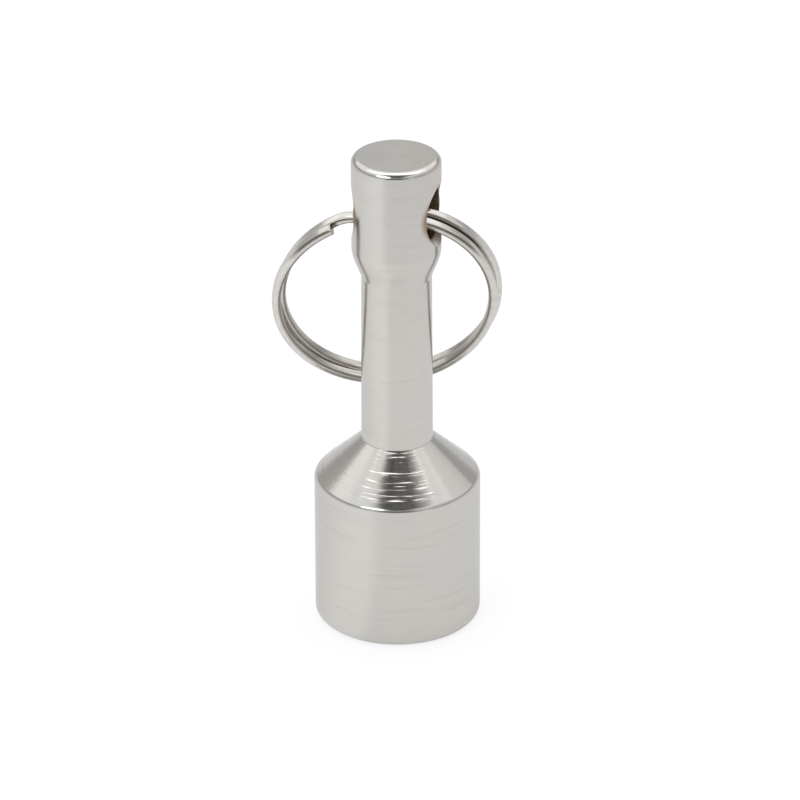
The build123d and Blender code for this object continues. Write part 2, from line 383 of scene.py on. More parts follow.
class Shades:
    """A material's node tree, with one method for every kind of node."""

    def __init__(self, name):
        self.material = bpy.data.materials.new(name)
        self.material.use_nodes = True
        self.tree = self.material.node_tree
        self.tree.nodes.clear()

    def node(self, kind, settings=(), inputs=(), output=0):
        """Adds a node, with its settings first and then its sockets' values or links, and gives one output."""
        made = self.tree.nodes.new(kind)
        for name, value in dict(settings).items():
            setattr(made, name, value)
        for name, value in dict(inputs).items():
            if isinstance(value, Signal):
                self.tree.links.new(value.socket, made.inputs[name])
            else:
                made.inputs[name].default_value = value
        return Signal(self, made.outputs[output]) if made.outputs else None

    def place(self):
        """The point in millimetres: Object coordinates times 1000."""
        where = self.node("ShaderNodeTexCoord", output="Object")
        return self.node("ShaderNodeVectorMath", {"operation": "SCALE"}, {0: where, "Scale": 1000.0})

    def parts(self, vector):
        """A vector's three numbers."""
        split = self.node("ShaderNodeSeparateXYZ", {}, {0: vector}).socket.node
        return [Signal(self, split.outputs[n]) for n in range(3)]

    def joined(self, x, y, z):
        """Three numbers as a vector."""
        return self.node("ShaderNodeCombineXYZ", {}, {0: x, 1: y, 2: z})

    def noise(self, vector, scale, detail=2.0, roughness=0.5):
        """Smooth noise from 0 to 1."""
        return self.node(
            "ShaderNodeTexNoise", {"noise_dimensions": "3D"},
            {"Vector": vector, "Scale": scale, "Detail": detail, "Roughness": roughness},
        )

    def blend(self, factor, first, second):
        """The first colour where the factor is 0 and the second where it is 1."""
        made = self.tree.nodes.new("ShaderNodeMix")
        made.data_type = "RGBA"
        sockets = {0: factor, 6: first, 7: second}
        for number, value in sockets.items():
            if isinstance(value, Signal):
                self.tree.links.new(value.socket, made.inputs[number])
            else:
                made.inputs[number].default_value = (*value, 1.0)
        return Signal(self, made.outputs[2])

    def finish(self, **sockets):
        """A Principled shader as the surface; underscores in a name stand for the spaces in the socket's."""
        named = {name.replace("_", " "): value for name, value in sockets.items()}
        shader = self.node("ShaderNodeBsdfPrincipled", {}, named)
        self.node("ShaderNodeOutputMaterial", {}, {"Surface": shader})
        return self.material


def scaled(colour, factor):
    """A colour times a factor."""
    return tuple(factor * part for part in colour)


def turned_metal(name, finishes, polish, bore_shade=None):
    """Nickel over turned steel: fine lines round the axis, broad warm patches and a polished stretch.

    The lines are noise of height minus radius, which changes along every surface of a turning, with a slow
    change round the axis so that they break up. The polish is its first and last height, its roughness and
    how much rougher its lines are; its plate is also darkened a little there, as painted shade that dims its
    reflections. The bore shade is the cross hole's height, its radius and its colour, a painted shade inside
    the hole and over its countersinks.
    """
    satin_roughness, bore_roughness, bore_fade = 0.22, 0.45, 0.6
    shades = Shades(name)
    place = shades.place()
    x, y, z = shades.parts(place)
    length_of = ("ShaderNodeVectorMath", {"operation": "LENGTH"})
    radius = shades.node(*length_of, {0: shades.joined(x, y, 0.0)}, "Value")
    along = z - radius
    around_x, around_y = x / (radius + 0.05), y / (radius + 0.05)
    fine = shades.noise(shades.joined(along * 5.0, around_x * 0.7, around_y * 0.7), 1.0, 3.0, 0.6)
    broad = shades.noise(place, 0.16, 1.0, 0.4)
    patches = broad.rise(0.42, 0.66)
    tone = shades.blend(patches * 0.6, finishes.nickel, finishes.nickel_warm)
    rings = shades.noise(shades.joined(along * 1.7, around_x * 0.8, around_y * 0.8), 1.0, 4.0, 0.7)
    tone = shades.blend(rings.rise(0.5, 0.72), tone, scaled(finishes.nickel, 0.955))
    rough = satin_roughness + (broad - 0.5) * 0.05
    polish_from, polish_to, polished, chatter = polish
    polish_and_shade = z.rise(polish_from, polish_to)
    rough = rough * (1 - polish_and_shade) + polish_and_shade * polished
    # Painted shade: the plate on the polished stretch is darkened a little, to dim its reflections.
    tone = shades.blend(polish_and_shade * 0.07, tone, BLACK)
    pits = shades.noise(shades.joined(x * 1.6, y * 1.6, along * 3.0), 1.0, 4.0, 0.65)
    fine = fine * (1 + polish_and_shade * chatter) + pits * polish_and_shade * chatter * 1.4
    # Painted shade inside the cross hole, fading out over its countersinks.
    if bore_shade is not None:
        height, reach, bore_shade_colour = bore_shade
        off_axis = shades.node(*length_of, {0: shades.joined(0.0, y, z - height)}, "Value")
        inside = 1 - off_axis.rise(reach, reach + bore_fade)
        tone = shades.blend(inside, tone, bore_shade_colour)
        rough = rough * (1 - inside) + inside * bore_roughness
    bump = shades.node("ShaderNodeBump", {}, {"Strength": 0.5, "Distance": 2e-6, "Height": fine})
    return shades.finish(
        Base_Color=tone, Metallic=1.0, Roughness=rough, Normal=bump,
        Anisotropic=0.4, Anisotropic_Rotation=0.25, Specular_Tint=EDGE_TINT,
    )


# ---------------------------------------------------------------- operators

class MAGNET_OT_cup(bpy.types.Operator):
    """Build the cup, with its cone, magnet recess and stem hole"""

    bl_idname = "magnet.cup"
    bl_label = "Cup"

    def execute(self, context):
        sizes, finishes = context.scene.magnet_cup_sizes, context.scene.magnet_finishes
        shoulder = sizes.shoulder / MM
        material = turned_metal("turned_nickel", finishes, (shoulder - 0.1, shoulder + 0.1, 0.1, 5.0))
        stand_in("cup", cup_surface(sizes), material, "magnet_body", "magnet_cup")
        return {"FINISHED"}


def cup_outline(sizes):
    """The cup's outline from the recess's ceiling, round the rim, up the side and cone, and down the hole.

    Also gives which of its points lie on the cone's straight run, which is cut into many short rows.
    """
    corners = [
        (0, sizes.recess_depth, 0), (sizes.recess_radius, sizes.recess_depth, 0.1 * MM),
        (sizes.recess_radius, 0, 0.08 * MM), (sizes.radius, 0, sizes.bottom_round),
        (sizes.radius, sizes.shoulder, sizes.shoulder_round),
        (sizes.cone_top, sizes.height, 0.04 * MM), (sizes.hole_radius, sizes.height, 0.1 * MM),
        (sizes.hole_radius, sizes.hole_floor, 0.1 * MM), (0, sizes.hole_floor - sizes.drill_point, 0),
    ]
    outline, normals = rounded_outline(corners, ARC_STEPS)
    foot = 4 * ARC_STEPS
    along = np.linspace(0, 1, CONE_ROWS)[1:-1, None]
    run = outline[foot] + (outline[foot + 1] - outline[foot]) * along
    outline = np.concatenate([outline[:foot + 1], run, outline[foot + 1:]])
    run_normals = np.broadcast_to(normals[foot], run.shape)
    normals = np.concatenate([normals[:foot + 1], run_normals, normals[foot + 1:]])
    return outline, normals, slice(foot, foot + CONE_ROWS)


def wander(turn, waves, rng):
    """A smooth, uneven number from about -1 to 1 round the axis: sine waves with random phases."""
    counts = np.arange(1, waves + 1)[:, None]
    phases = rng.uniform(0, 2 * np.pi, (waves, 1))
    weights = rng.uniform(0.4, 1.0, (waves, 1))
    return (weights * np.sin(counts * turn[None] + phases)).sum(0) / np.sqrt((weights ** 2).sum() / 2) / 1.6


RIDGES = (  # place down the cone as a share, width in millimetres, and height as a share of the mark depth
    (0.05, 0.10, 0.7), (0.115, 0.09, 0.7), (0.20, 0.07, 0.3), (0.41, 0.13, 1.0), (0.455, 0.07, 0.5),
    (0.575, 0.11, 0.8), (0.63, 0.07, 0.5), (0.70, 0.12, 0.9), (0.80, 0.09, 0.55), (0.89, 0.16, 1.2),
)
FEED_PITCHES = (0.21, 0.37)
FEED_SHARE = 0.055


def tool_marks(down, turn, depth, deepest):
    """Height of the marks on the cone, from the distance down it and the turn round it.

    Each ridge is a Gaussian bell across the cone. Its place wanders and its height comes and goes round the
    axis. The rings of the feed are two sine waves down the cone, which also come and go. Three times round
    the cone the marks swell and nearly die away, along a squared raised cosine, and they fade to nothing at
    the cone's two ends.
    """
    rng = np.random.default_rng(11)
    reach = down[-1] - down[0]
    share_down = ((down - down[0]) / reach)[:, None]
    height = np.zeros((len(down), len(turn)))
    for place, width, size in RIDGES:
        centre = place * reach + 0.05 * MM * wander(turn, 9, rng)
        strength = np.clip(0.62 + 0.5 * wander(turn, 22, rng), 0.05, 1.3)
        off = (share_down * reach - centre[None]) / (width * MM)
        height += depth * size * strength[None] * np.exp(-off * off)
    for pitch in FEED_PITCHES:
        swell = 0.5 + 0.5 * wander(turn, 16, rng)
        drift = 0.5 * wander(turn, 7, rng)
        waves = np.sin(share_down * reach / (pitch * MM) * 2 * np.pi + drift[None] * 3)
        height += FEED_SHARE * depth * swell[None] * waves
    ends = np.clip(np.minimum(share_down, 1 - share_down) * 60, 0, 1)
    swell = 0.5 + 0.5 * np.cos(3 * (turn - deepest))
    return height * ends * ends * (3 - 2 * ends) * (0.05 + 0.95 * swell * swell)[None]


def cup_surface(sizes):
    """The cup's outline carried round the axis, with the cone pushed out along its normal by the tool marks.

    A pushed surface's normal is the old one less the marks' slope down the cone and their slope round it.
    """
    outline, normals, cone = cup_outline(sizes)
    spots, facing, faces = revolved(outline, normals, sizes.columns)
    shape = (len(outline), sizes.columns, 3)
    spots, facing = spots.reshape(shape).copy(), facing.reshape(shape).copy()
    turn = np.linspace(0, 2 * np.pi, sizes.columns, endpoint=False)
    edge, plain_normal = outline[cone], normals[cone][0]
    run = unit(edge[-1] - edge[0])
    climbed = np.linalg.norm(edge - edge[0], axis=1)
    height = tool_marks(climbed, turn, sizes.mark_depth, sizes.mark_turn)[::-1]
    slope_up = np.gradient(height, climbed, axis=0)[..., None]
    around = np.concatenate([height[:, -1:], height, height[:, :1]], 1)
    slope_round = ((around[:, 2:] - around[:, :-2]) / (2 * (turn[1] - turn[0]) * edge[:, :1]))[..., None]
    cos, sin, flat = np.cos(turn), np.sin(turn), np.ones_like(turn)
    old = np.stack([plain_normal[0] * cos, plain_normal[0] * sin, plain_normal[1] * flat], -1)[None]
    upward = np.stack([run[0] * cos, run[0] * sin, run[1] * flat], -1)[None]
    sideways = np.stack([-sin, cos, 0 * flat], -1)[None]
    spots[cone] += old * height[..., None]
    facing[cone] = unit(old - upward * slope_up - sideways * slope_round)
    return spots.reshape(-1, 3), facing.reshape(-1, 3), faces


class MAGNET_OT_stem(bpy.types.Operator):
    """Build the stem: spigot, neck, taper and head with its cross hole"""

    bl_idname = "magnet.stem"
    bl_label = "Stem"

    def execute(self, context):
        sizes, finishes = context.scene.magnet_stem_sizes, context.scene.magnet_finishes
        top = STEM_HIGH.z / MM
        bore_shade = sizes.hole_height / MM, sizes.hole_radius / MM + 0.02, finishes.bore_shade
        material = turned_metal("satin_nickel", finishes, (top - 0.75, top - 0.65, 0.14, 0.5), bore_shade)
        stand_in("stem_turning", stem_surface(sizes), material, "magnet_body", "stem")
        return {"FINISHED"}


def taper_outline(sizes, steps):
    """The taper as a cubic Bezier curve from the neck's corner to the head, with normals from its slope."""
    flare = sizes.head_radius - sizes.neck_radius
    rise = sizes.head_base - sizes.neck_top
    knots = np.array([
        (sizes.neck_radius, sizes.neck_top), (sizes.neck_radius + 0.3 * flare, sizes.neck_top + 0.3 * rise),
        (sizes.head_radius, sizes.head_base - 0.37 * rise), (sizes.head_radius, sizes.head_base),
    ])
    t = np.linspace(0, 1, steps)[:, None]
    u = 1 - t
    points = knots[0] * u ** 3 + knots[1] * 3 * t * u ** 2 + knots[2] * 3 * t * t * u + knots[3] * t ** 3
    steps_between = np.diff(knots, axis=0)
    slope = unit(steps_between[0] * u ** 2 + steps_between[1] * 2 * t * u + steps_between[2] * t * t)
    return points, np.stack([slope[:, 1], -slope[:, 0]], 1)


def between(first, second, t):
    """Unit vectors a share t of the way from the first to the second, turned at an even rate."""
    gap = np.arccos(np.clip(np.einsum("ij,ij->i", first, second), -1, 1))[:, None]
    gap = np.maximum(gap, 1e-6)
    return (np.sin((1 - t) * gap) * first + np.sin(t * gap) * second) / np.sin(gap)


def mouth_patch(sizes, low, high, side):
    """Half of the head round one mouth of the cross hole, as rows from the hole's middle out to a rectangle.

    At angle f round the hole, the tunnel runs out to x0, the head's radius less the countersink's depth.
    There the countersink opens at 45 degrees, s out and s wider, until it meets the head, where (x0 + s)
    squared plus ((r + s) cos f) squared is the head's radius squared. Each of these two edges is broken by
    a quadratic Bezier curve that starts and ends a little to either side of it. The last rows run over the
    head's surface, in (arc, height), to the rectangle's edge.
    """
    big, small, start = sizes.head_radius, sizes.hole_radius, sizes.head_radius - sizes.sink_depth
    half = sizes.columns // 2
    rows_up, tunnel_rows, bend_rows, sink_rows, head_rows = 28, 13, 5, 8, 20
    quarter = np.full(rows_up, np.pi / 2)
    bottom = np.linspace(-np.pi / 2, np.pi / 2, half + 1)
    right = np.linspace(low, high, rows_up + 1)
    edge_turn = np.concatenate([bottom[:-1], quarter, bottom[::-1][:-1], -quarter])
    edge_z = np.concatenate([np.full(half, low), right[:-1], np.full(half, high), right[::-1][:-1]])
    phi = np.arctan2(edge_z - sizes.hole_height, big * edge_turn)
    c, up = np.cos(phi), np.sin(phi)
    a, b, k = 1 + c * c, 2 * (start + small * c * c), start ** 2 + (small * c) ** 2 - big ** 2
    wide = (np.sqrt(b * b - 4 * a * k) - b) / (2 * a)

    def sunk(out, reach):
        return np.stack([np.broadcast_to(out, phi.shape), reach * c, sizes.hole_height + reach * up], -1)

    rim = sunk(start + wide, small + wide)
    rim_turn, rim_z = np.arctan2(rim[:, 1], rim[:, 0]), rim[:, 2]
    break_share = sizes.edge_break / np.hypot(big * (edge_turn - rim_turn), edge_z - rim_z)

    def on_head(t):
        turn = rim_turn + (edge_turn - rim_turn) * t
        facing = np.stack([np.cos(turn), np.sin(turn), np.zeros_like(turn)], -1)
        return np.stack([big * facing[:, 0], big * facing[:, 1], rim_z + (edge_z - rim_z) * t], -1), facing

    into_hole = np.stack([np.zeros_like(phi), -c, -up], -1)
    flared = np.stack([np.ones_like(phi), -c, -up], -1) / math.sqrt(2)
    reach = np.minimum(sizes.edge_break / math.sqrt(2), 0.45 * wide)
    spots, normals = [], []
    for t in np.linspace(0, 1, tunnel_rows):
        spots.append(sunk((start - reach) * t, small))
        normals.append(into_hole)
    past, past_facing = on_head(break_share)
    bends = (
        (spots[-1], sunk(start, small), sunk(start + reach, small + reach), into_hole, flared),
        (sunk(start + wide - reach, small + wide - reach), rim, past, flared, past_facing),
    )
    for first, corner, last, facing_first, facing_last in bends:
        for t in np.linspace(0, 1, bend_rows):
            spots.append(first * (1 - t) ** 2 + corner * 2 * t * (1 - t) + last * t * t)
            normals.append(between(facing_first, facing_last, t))
        if corner is not rim:
            for t in np.linspace(0, 1, sink_rows)[1:-1]:
                out = reach + (wide - 2 * reach) * t
                spots.append(sunk(start + out, small + out))
                normals.append(flared)
    for t in np.linspace(0, 1, head_rows)[1:]:
        spot, facing = on_head(break_share + (1 - break_share) * t)
        spots.append(spot)
        normals.append(facing)
    rows = len(spots)
    flip = np.array([side, 1, 1])
    spots = (np.array(spots) * flip).reshape(-1, 3)
    normals = (np.array(normals) * flip).reshape(-1, 3)
    return spots, normals, grid_faces(rows, len(phi), True)


def stem_surface(sizes):
    """Spigot, neck and taper below, two mouth patches round the cross hole, and the head's top above.

    The neck's last row stays just below the taper's first, so that their corner keeps both its normals.
    """
    low, high = sizes.head_base + 0.15 * MM, sizes.hole_height + 4.6 * MM
    tip, seat, top = STEM_LOW.z, CUP_HIGH.z, STEM_HIGH.z
    spigot, chamfer, edge = sizes.spigot_radius, sizes.spigot_chamfer, 0.05 * MM
    corners = [
        (0, tip, 0), (spigot - chamfer, tip, edge), (spigot, tip + chamfer, edge), (spigot, seat, edge),
        (sizes.foot_radius, seat, edge), (sizes.neck_radius, sizes.neck_top - CORNER_GAP, 0.0),
    ]
    below, below_facing = rounded_outline(corners, 7)
    taper, taper_facing = taper_outline(sizes, 33)
    lift = np.array([[sizes.head_radius, low]])
    upright = np.array([[1.0, 0.0]])
    lower = np.concatenate([below, taper, lift])
    lower_facing = np.concatenate([below_facing, taper_facing, upright])
    upper, upper_facing = rounded_outline(
        [(sizes.head_radius, high, 0), (sizes.head_radius, top, sizes.head_round), (0, top, 0)], 17
    )
    return gathered(
        revolved(lower, lower_facing, sizes.columns),
        mouth_patch(sizes, low, high, 1), mouth_patch(sizes, low, high, -1),
        revolved(upper, upper_facing, sizes.columns),
    )


class MAGNET_OT_ring(bpy.types.Operator):
    """Build the split ring, hung in the cross hole"""

    bl_idname = "magnet.ring"
    bl_label = "Split Ring"

    def execute(self, context):
        sizes, finishes = context.scene.magnet_ring_sizes, context.scene.magnet_finishes
        shades = Shades("ring_steel")
        place = shades.place()
        scuffs = shades.noise(place, 1.3, 4.0, 0.6)
        # Painted shade and painted dark reflections on the wire, read from each point's attribute.
        hollow = shades.node("ShaderNodeAttribute", {"attribute_name": "hollow"}, output="Fac")
        tone = shades.blend(scuffs.rise(0.35, 0.7), finishes.steel, scaled(finishes.steel, 0.9))
        tone = shades.blend(hollow, tone, finishes.painted_wire_shade)
        rough = 0.1 + scuffs * 0.1 + hollow * 0.1
        bump = shades.node("ShaderNodeBump", {}, {"Strength": 0.3, "Distance": 4e-6, "Height": scuffs})
        material = shades.finish(
            Base_Color=tone, Metallic=1.0, Roughness=rough, Normal=bump, Specular_Tint=EDGE_TINT
        )
        surface, hollow = ring_surface(sizes, context.scene.magnet_stem_sizes.hole_height)
        stand_in("key_ring", surface, material, "ring", "split_ring", hollow)
        return {"FINISHED"}


def ring_surface(sizes, hole_height):
    """The wire's rounded rectangle carried along its path of nearly two turns, with both cut ends rounded.

    At angle a, the wire's middle is the turn's middle plus the ring's radius along the ray at a, plus an
    offset along the ring's axis. Both the middle and the offset go from the front turn's to the rear turn's
    over the step. Also gives each point's painted shade, for the material.
    """
    across = np.array([math.cos(sizes.turn), math.sin(sizes.turn), 0])
    forward = np.array([math.sin(sizes.turn), -math.cos(sizes.turn), 0])
    up = np.array([0, 0, 1.0])
    rise = up * math.cos(sizes.lean) + forward * math.sin(sizes.lean)
    front = forward * math.cos(sizes.lean) - up * math.sin(sizes.lean)
    centre = np.array([0, -sizes.forward, hole_height]) + across * sizes.aside - rise * sizes.hang
    lap = 2 * math.pi - sizes.step_arc
    travel = np.linspace(0, 2 * lap + sizes.step_arc, sizes.sections)
    over = np.clip((travel - lap) / sizes.step_arc, 0, 1)
    ease = (over * over * (3 - 2 * over))[:, None]
    turned = (sizes.front_end + travel)[:, None]
    outward = across * np.cos(turned) + rise * np.sin(turned)
    half_pitch = (sizes.wire_axial + sizes.turn_gap) / 2
    middle = centre + across * (sizes.turn_slip * (ease - 0.5))
    middle = middle + outward * (sizes.outer_radius - sizes.wire_radial / 2)
    middle = middle + front * (half_pitch * (1 - 2 * ease))
    ahead = unit(np.gradient(middle, axis=0))
    spins, facing, section = wire_section(sizes)
    side = np.broadcast_to(front, outward.shape)
    spots = middle[:, None] + outward[:, None] * section[None, :, :1] + side[:, None] * section[None, :, 1:]
    normals = outward[:, None] * facing[None, :, :1] + side[:, None] * facing[None, :, 1:]
    hollow = wire_painted_shade(sizes, spins, facing, section, np.sin(turned), ease)
    start, start_facing = wire_end(middle[0], outward[0], front, -ahead[0], section, facing)
    end, end_facing = wire_end(middle[-1], outward[-1], front, ahead[-1], section, facing)
    # Painted shade over both cut ends.
    cut_end_shade = np.full((len(start), len(section)), 0.3)
    spots = np.concatenate([start[::-1], spots[1:-1], end])
    normals = np.concatenate([start_facing[::-1], normals[1:-1], end_facing])
    hollow = np.concatenate([cut_end_shade, hollow[1:-1], cut_end_shade])
    surface = spots.reshape(-1, 3), normals.reshape(-1, 3), grid_faces(len(spots), len(section), True)
    return surface, hollow.ravel()


def wire_section(sizes):
    """The wire's rounded rectangle, (out from the ring's centre, towards the front), with its normals."""
    points_per_corner = 7
    depth, thick, edge = sizes.wire_radial / 2, sizes.wire_axial / 2, sizes.wire_round
    quarter = np.linspace(0, np.pi / 2, points_per_corner)
    spins = np.concatenate([quarter + corner * np.pi / 2 for corner in range(4)])
    centres = np.repeat([(1, 1), (-1, 1), (-1, -1), (1, -1)], points_per_corner, axis=0)
    facing = np.stack([np.cos(spins), np.sin(spins)], 1)
    return spins, facing, centres * (depth - edge, thick - edge) + facing * edge


def wire_painted_shade(sizes, spins, facing, section, lift, ease):
    """How much painted shade the wire gets: 0 on bright plate, up to 1 where little light gets in.

    It rises on the wire's inner face, more so towards the front, as a painted dark reflection. Near the top
    of the ring it rises where one turn faces the other, as painted shade between the turns, and in a Gaussian
    line along the front turn's upper corner, as a painted dark reflection. The lift is the sine of the angle
    round the ring, and the ease is 0 on the front turn and 1 on the rear one.
    """
    rear = 0.999
    corner_spin, corner_width = math.radians(52), math.radians(22)
    toward_front = 0.5 + section[None, :, 1] / sizes.wire_axial
    inner = np.clip(-1.3 * facing[None, :, 0], 0, 1) * (0.08 + 0.5 * toward_front)
    toward_other_turn = facing[None, :, 1] * np.where(ease > rear, 1, -1)
    groove_edge = 1 - 0.75 * np.clip((lift - 0.75) / 0.25, 0, 1)
    groove = np.clip((toward_other_turn - groove_edge) / 0.3 + 1, 0, 1)
    groove = groove * np.clip((lift - 0.45) / 0.2, 0, 1) * 0.8
    corner = np.exp(-((spins[None] - corner_spin) / corner_width) ** 2)
    corner = corner * (ease < rear) * np.clip((lift - 0.5) / 0.15, 0, 1)
    return np.maximum(np.maximum(inner, groove), corner)


def wire_end(middle, outward, front, way, section, facing):
    """Rows over a cut end: a quarter round of the burr's radius, and then the middle of the cut."""
    rows, row_normals = [], []
    flat = outward * facing[:, :1] + front * facing[:, 1:]
    for t in np.linspace(0, np.pi / 2, 6):
        drawn_in = section - facing * (BURR * (1 - math.cos(t)))
        spots = middle + outward * drawn_in[:, :1] + front * drawn_in[:, 1:]
        rows.append(spots - way * BURR * (1 - math.sin(t)))
        row_normals.append(flat * math.cos(t) + way * math.sin(t))
    rows.append(np.broadcast_to(middle, rows[0].shape))
    row_normals.append(np.broadcast_to(way, rows[0].shape))
    return np.array(rows), np.array(row_normals)


class MAGNET_OT_magnet(bpy.types.Operator):
    """Build the disc magnet and its resin, and finish the glue behind it"""

    bl_idname = "magnet.magnet"
    bl_label = "Magnet and Resin"

    def execute(self, context):
        sizes, finishes = context.scene.magnet_disc_sizes, context.scene.magnet_finishes
        disc = revolved(*magnet_outline(sizes), sizes.columns)
        stand_in("magnet_disc", disc, magnet_metal(finishes), "magnet_body", "disc_magnet")
        resin = cast_resin(finishes)
        stand_in("resin_fill", collar_surface(sizes), resin, "magnet_body", "resin_collar")
        glue, slots = cured_glue(finishes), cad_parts["glue_disc"].material_slots
        for slot in slots:
            slot.material = glue
        if not len(slots):
            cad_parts["glue_disc"].data.materials.append(glue)
        return {"FINISHED"}


def magnet_metal(finishes):
    """Nickel on a sintered magnet: soft scuffs that dull it a little."""
    shades = Shades("magnet_nickel")
    scuffs = shades.noise(shades.place(), 1.6, 5.0, 0.65)
    tone = shades.blend(scuffs.rise(0.3, 0.7), finishes.magnet, scaled(finishes.magnet, 0.88))
    bump = shades.node("ShaderNodeBump", {}, {"Strength": 0.3, "Distance": 3e-6, "Height": scuffs})
    return shades.finish(Base_Color=tone, Metallic=1.0, Roughness=0.16 + scuffs * 0.14, Normal=bump)


def cast_resin(finishes):
    """Black resin with a slightly uneven gloss."""
    shades = Shades("potting_resin")
    mottle = shades.noise(shades.place(), 2.2, 4.0, 0.6)
    tone = shades.blend(mottle, finishes.resin, scaled(finishes.resin, 2.2))
    bump = shades.node("ShaderNodeBump", {}, {"Strength": 0.4, "Distance": 2e-5, "Height": mottle})
    return shades.finish(Base_Color=tone, Roughness=0.32 + mottle * 0.2, Normal=bump)


def cured_glue(finishes):
    """Clear glue, a little hazy."""
    shades = Shades("clear_glue")
    haze = shades.noise(shades.place(), 1.1, 3.0, 0.5)
    tone = shades.blend(haze, finishes.glue, scaled(finishes.glue, 0.85))
    return shades.finish(Base_Color=tone, Roughness=0.25 + haze * 0.2)


def magnet_outline(sizes):
    """The disc's outline, with both its edges broken."""
    low, high, edge, rounding = MAGNET_LOW.z, MAGNET_HIGH.z, sizes.chamfer, 0.06 * MM
    radius = MAGNET_HIGH.x
    return rounded_outline([
        (0, low, 0), (radius - edge, low, rounding), (radius, low + edge, rounding),
        (radius, high - edge, rounding), (radius - edge, high, rounding), (0, high, 0),
    ])


def collar_surface(sizes):
    """The resin's ring, whose lower face is drawn in between its two walls along half a sine wave."""
    low, high = COLLAR_LOW.z, COLLAR_HIGH.z
    inside, outside = sizes.collar_inside, sizes.collar_outside
    across = np.linspace(0, 1, 15)
    lower = np.stack([inside + (outside - inside) * across, low + sizes.sag * np.sin(np.pi * across)], 1)
    slope = sizes.sag * np.pi * np.cos(np.pi * across) / (outside - inside)
    lower_facing = unit(np.stack([slope, -np.ones_like(slope)], 1))
    wall = np.array([
        (outside, low), (outside, high), (outside, high), (inside, high), (inside, high), (inside, low)
    ])
    facing = np.array([(1, 0), (1, 0), (0, 1), (0, 1), (-1, 0), (-1, 0)], float)
    outline = np.concatenate([lower, wall, lower[:1]])
    normals = np.concatenate([lower_facing, facing, lower_facing[:1]])
    return revolved(outline, normals, sizes.columns)


OVERHEAD_LAMPS = (  # name, places to the right and behind in heights, height, and size
    ("overhead", -0.21, -0.1, 0.62, (1.5, 2.1)),
    ("side", 1.56, -0.1, 0.62, (0.7, 2.1)),
    ("bright", 0, 0.2, 0.61, (0.76, 0.40)),
)


class MAGNET_OT_stage(bpy.types.Operator):
    """Lay the floor, hang the lamps and the dark cards, and set the camera"""

    bl_idname = "magnet.stage"
    bl_label = "Studio Stage"

    def execute(self, context):
        scene, studio = context.scene, context.scene.magnet_studio
        scene.view_settings.view_transform = "Standard"
        room(scene, studio)
        paper(studio)
        above = overhead(studio, 0.17, -1.0, 0.5)
        card(studio, "dark_card", above, (0.64, 0.78), (0, 0, -1), 0.15)
        ahead = toward(studio, 5, 0) * 0.95 + Vector((0, 0, 0.15))
        card(studio, "front_card", ahead, (1.5, 0.30), toward(studio, 185, 0), 0.05)
        cove(studio)
        for name, right, back, height, size in OVERHEAD_LAMPS:
            place, watts = overhead(studio, right, back, height), getattr(studio, name + "_power")
            softbox(studio, name + "_lamp", place, size, (0, 0, 1), watts)
        rear = toward(studio, 180, 0)
        softbox(studio, "rear_lamp", rear * 1.4 + Vector((0, 0, 0.55)), (1.1, 1.1), rear, studio.rear_power)
        front = toward(studio, -35, 35)
        softbox(studio, "front_lamp", front * 0.7, (0.36, 0.28), front, studio.front_power)
        set_camera(scene, studio)
        return {"FINISHED"}


def toward(studio, azimuth, elevation):
    """The direction at this azimuth from the camera's own, positive to the right, and this elevation."""
    a, e = studio.azimuth + math.radians(azimuth), math.radians(elevation)
    return Vector((math.sin(a) * math.cos(e), -math.cos(a) * math.cos(e), math.sin(e)))


def facing_matrix(studio, place, normal):
    """A placing whose Z is the normal and whose Y is upright, or failing that its X to the camera's right."""
    z = Vector(normal).normalized()
    x = Vector((0, 0, 1)).cross(z)
    x = toward(studio, 90, 0) if x.length < 1e-6 else x.normalized()
    y = z.cross(x)
    turn = Matrix((x, y, z)).transposed().to_4x4()
    return Matrix.Translation(place) @ turn


def overhead(studio, right, back, height):
    """A point at this height, this many heights to the camera's right and this many away from the camera."""
    return height * (toward(studio, 90, 0) * right + toward(studio, 180, 0) * back + Vector((0, 0, 1)))


def plate(studio, name, place, size, normal, material):
    """A flat rectangle with its place in its mesh, level with the camera's own right."""
    mesh = bpy.data.meshes.new(name)
    w, h = size[0] / 2, size[1] / 2
    mesh.from_pydata([(-w, -h, 0), (w, -h, 0), (w, h, 0), (-w, h, 0)], [], [(0, 1, 2, 3)])
    mesh.transform(facing_matrix(studio, Vector(place), Vector(normal)))
    mesh.materials.append(material)
    made = bpy.data.objects.new(name, mesh)
    bpy.context.scene.collection.objects.link(made)
    return made


def card(studio, name, place, size, normal, darkness):
    """A mottled dark card seen only in reflections, paling quickly at its left and slowly at its right."""
    shades = Shades(name)
    position = shades.place()
    x, y, _ = shades.parts(position)
    right = toward(studio, 90, 0)
    across = (x * right.x + y * right.y - right.dot(place) / MM) / (size[0] / MM)
    pale = (1 - across.rise(-0.5, -0.33)) + across.rise(-0.05, 0.5) ** 1.6
    wisps = shades.noise(position, 0.02, 3.0, 0.6).rise(0.35, 0.7)
    level = darkness * (0.45 + 1.5 * wisps) + pale * 0.95
    return glowing(studio, name, place, size, normal, shades, level)


